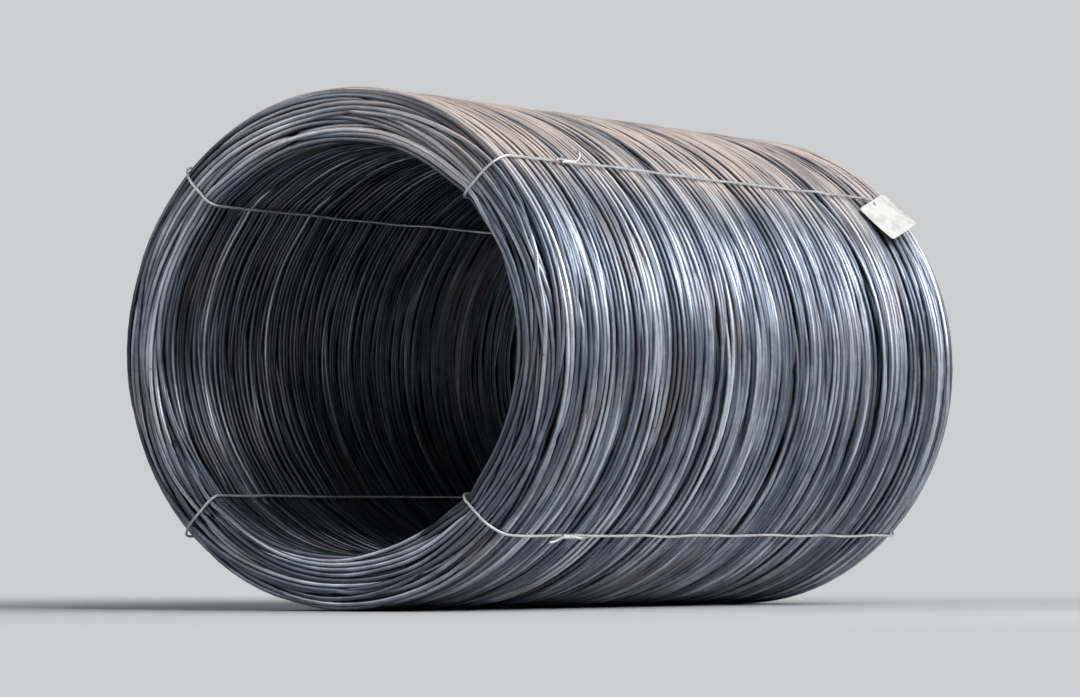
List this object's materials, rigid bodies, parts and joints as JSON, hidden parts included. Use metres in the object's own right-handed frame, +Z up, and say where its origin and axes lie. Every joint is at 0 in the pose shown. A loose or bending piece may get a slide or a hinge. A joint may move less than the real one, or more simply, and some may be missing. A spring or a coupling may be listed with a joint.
{
  "type": "coil of steel wire",
  "caption": "Long open coil of steel wire lying on its side, with a wide bore, ridged ends, wire ties that run along the side and through the bore, and a blank hanging label.",
  "frame": {"origin": "on the floor under the middle of the coil", "axes": "+Y along the coil's axis from the front end to the far end, +Z up"},
  "size_m": [1.25, 2.1136, 1.25],
  "materials": {
    "wire_steel": "drawn and rolled steel wire under a thin blue-grey scale, satin, with bright rubbed streaks",
    "tie_steel": "bright annealed tie wire",
    "label_white": "blank white card, slightly soiled"
  },
  "bodies": {
    "root": {"wire_coil": "wire_steel", "tie_wire_upper_right": "tie_steel", "tie_wire_upper_left": "tie_steel", "tie_wire_lower_left": "tie_steel", "tie_wire_lower_right": "tie_steel", "label_card": "label_white", "label_hanger": "tie_steel"}
  },
  "joints": []
}
